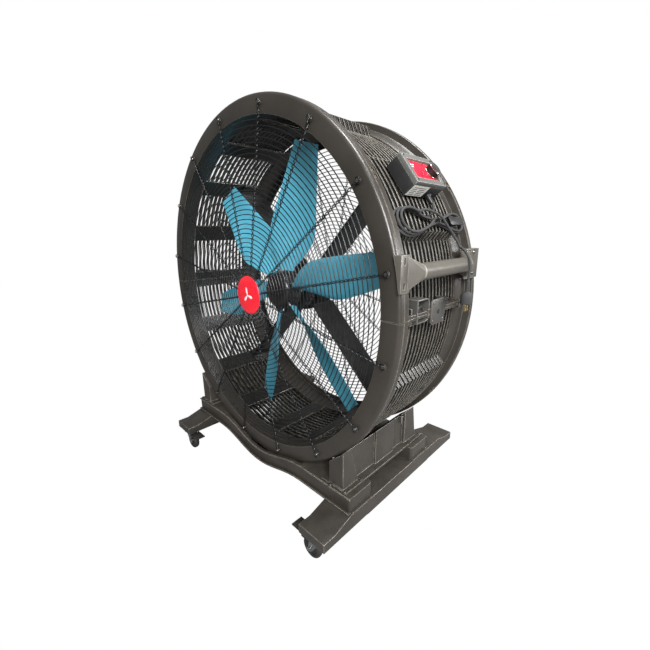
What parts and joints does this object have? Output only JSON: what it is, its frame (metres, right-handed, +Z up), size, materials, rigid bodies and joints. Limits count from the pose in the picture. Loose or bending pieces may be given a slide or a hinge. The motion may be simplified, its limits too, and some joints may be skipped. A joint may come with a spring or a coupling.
{
  "type": "drum fan",
  "caption": "Large wheeled drum fan: louvred round housing with wire guards and teal blades, in a cradle on castered feet, with a side handle and a speed control box.",
  "frame": {"origin": "on the floor, under the middle of the object's box", "axes": "+Z up, -Y the way the air blows, +X towards the side with the handle and the control box"},
  "size_m": [1.339, 0.818, 1.426],
  "materials": {
    "housing": "fine moulded grain, dark charcoal",
    "base": "fine moulded grain, dark charcoal",
    "guard_wire": "black powder coat",
    "black_plastic": "satin",
    "gloss_black": "high gloss",
    "blade_teal": "satin moulded teal",
    "badge_red": "semi-gloss red disc",
    "handle_grey": "satin grey",
    "lid_grey": "satin light grey",
    "steel": "machined",
    "zinc": "zinc plated",
    "circuit_board": "solder resist",
    "cord_rubber": "smooth black sheath",
    "caster_rubber": "matte black",
    "brass": "polished"
  },
  "bodies": {
    "fan_frame": {"badge": "badge_red", "bearing_front": "steel", "bearing_rear": "steel", "control_board": "circuit_board", "control_box": "black_plastic", "control_lid": "lid_grey", "cord_gland": "cord_rubber", "cord_hank": "cord_rubber", "cord_hook": "black_plastic", "cord_lead": "cord_rubber", "cord_tail": "cord_rubber", "cross_beam_front": "base", "cross_beam_rear": "base", "drum_lower": "housing", "drum_upper": "housing", "foot_left": "base", "foot_right": "base", "front_guard": "guard_wire", "handle_bracket_front": "handle_grey", "handle_bracket_rear": "handle_grey", "handle_grip": "handle_grey", "joint_plate_left": "handle_grey", "joint_plate_right": "handle_grey", "motor_front_cover": "black_plastic", "motor_housing": "black_plastic", "motor_spider": "black_plastic", "motor_stator": "steel", "plug_body": "cord_rubber", "plug_prong_1": "brass", "plug_prong_2": "brass", "rear_guard": "guard_wire", "side_support_left": "base", "side_support_right": "base", "speed_control": "steel"},
    "rotor": {"hub": "gloss_black", "hub_dome": "gloss_black", "motor_rotor": "steel", "blade_1": "blade_teal", "blade_2": "blade_teal", "blade_3": "blade_teal", "blade_4": "blade_teal", "blade_5": "blade_teal", "blade_6": "blade_teal"},
    "knob": {"speed_knob": "black_plastic"},
    "swivel_front_left": {"caster_fork_front_left": "zinc", "caster_axle_front_left": "zinc"},
    "wheel_front_left": {"caster_wheel_front_left": "caster_rubber"},
    "pedal_front_left": {"brake_pedal_front_left": "black_plastic"},
    "swivel_front_right": {"caster_fork_front_right": "zinc", "caster_axle_front_right": "zinc"},
    "wheel_front_right": {"caster_wheel_front_right": "caster_rubber"},
    "pedal_front_right": {"brake_pedal_front_right": "black_plastic"},
    "swivel_rear_left": {"caster_fork_rear_left": "zinc", "caster_axle_rear_left": "zinc"},
    "wheel_rear_left": {"caster_wheel_rear_left": "caster_rubber"},
    "swivel_rear_right": {"caster_fork_rear_right": "zinc", "caster_axle_rear_right": "zinc"},
    "wheel_rear_right": {"caster_wheel_rear_right": "caster_rubber"}
  },
  "joints": [
    {"name": "rotor_spin", "type": "hinge", "parent": "fan_frame", "child": "rotor", "pos_m": [-0.0195, -0.117, 0.787], "axis": [0, 1, 0], "continuous": true},
    {"name": "knob_turn", "type": "hinge", "parent": "fan_frame", "child": "knob", "pos_m": [0.54101, -0.021, 1.16422], "axis": [-0.8049, 0, -0.5934], "range_deg": [0, 300]},
    {"name": "swivel_front_left_turn", "type": "hinge", "parent": "fan_frame", "child": "swivel_front_left", "pos_m": [-0.467, -0.377, 0.085], "axis": [0, 0, 1], "continuous": true},
    {"name": "wheel_front_left_roll", "type": "hinge", "parent": "swivel_front_left", "child": "wheel_front_left", "pos_m": [-0.442, -0.377, 0.0375], "axis": [0, 1, 0], "continuous": true},
    {"name": "pedal_front_left_press", "type": "hinge", "parent": "swivel_front_left", "child": "pedal_front_left", "pos_m": [-0.421, -0.377, 0.0735], "axis": [0, 1, 0], "range_deg": [0, 18]},
    {"name": "swivel_front_right_turn", "type": "hinge", "parent": "fan_frame", "child": "swivel_front_right", "pos_m": [0.428, -0.377, 0.085], "axis": [0, 0, 1], "continuous": true},
    {"name": "wheel_front_right_roll", "type": "hinge", "parent": "swivel_front_right", "child": "wheel_front_right", "pos_m": [0.403, -0.377, 0.0375], "axis": [0, 1, 0], "continuous": true},
    {"name": "pedal_front_right_press", "type": "hinge", "parent": "swivel_front_right", "child": "pedal_front_right", "pos_m": [0.382, -0.377, 0.0735], "axis": [0, -1, 0], "range_deg": [0, 18]},
    {"name": "swivel_rear_left_turn", "type": "hinge", "parent": "fan_frame", "child": "swivel_rear_left", "pos_m": [-0.467, 0.377, 0.085], "axis": [0, 0, 1], "continuous": true},
    {"name": "wheel_rear_left_roll", "type": "hinge", "parent": "swivel_rear_left", "child": "wheel_rear_left", "pos_m": [-0.442, 0.377, 0.0375], "axis": [0, 1, 0], "continuous": true},
    {"name": "swivel_rear_right_turn", "type": "hinge", "parent": "fan_frame", "child": "swivel_rear_right", "pos_m": [0.428, 0.377, 0.085], "axis": [0, 0, 1], "continuous": true},
    {"name": "wheel_rear_right_roll", "type": "hinge", "parent": "swivel_rear_right", "child": "wheel_rear_right", "pos_m": [0.403, 0.377, 0.0375], "axis": [0, 1, 0], "continuous": true}
  ]
}
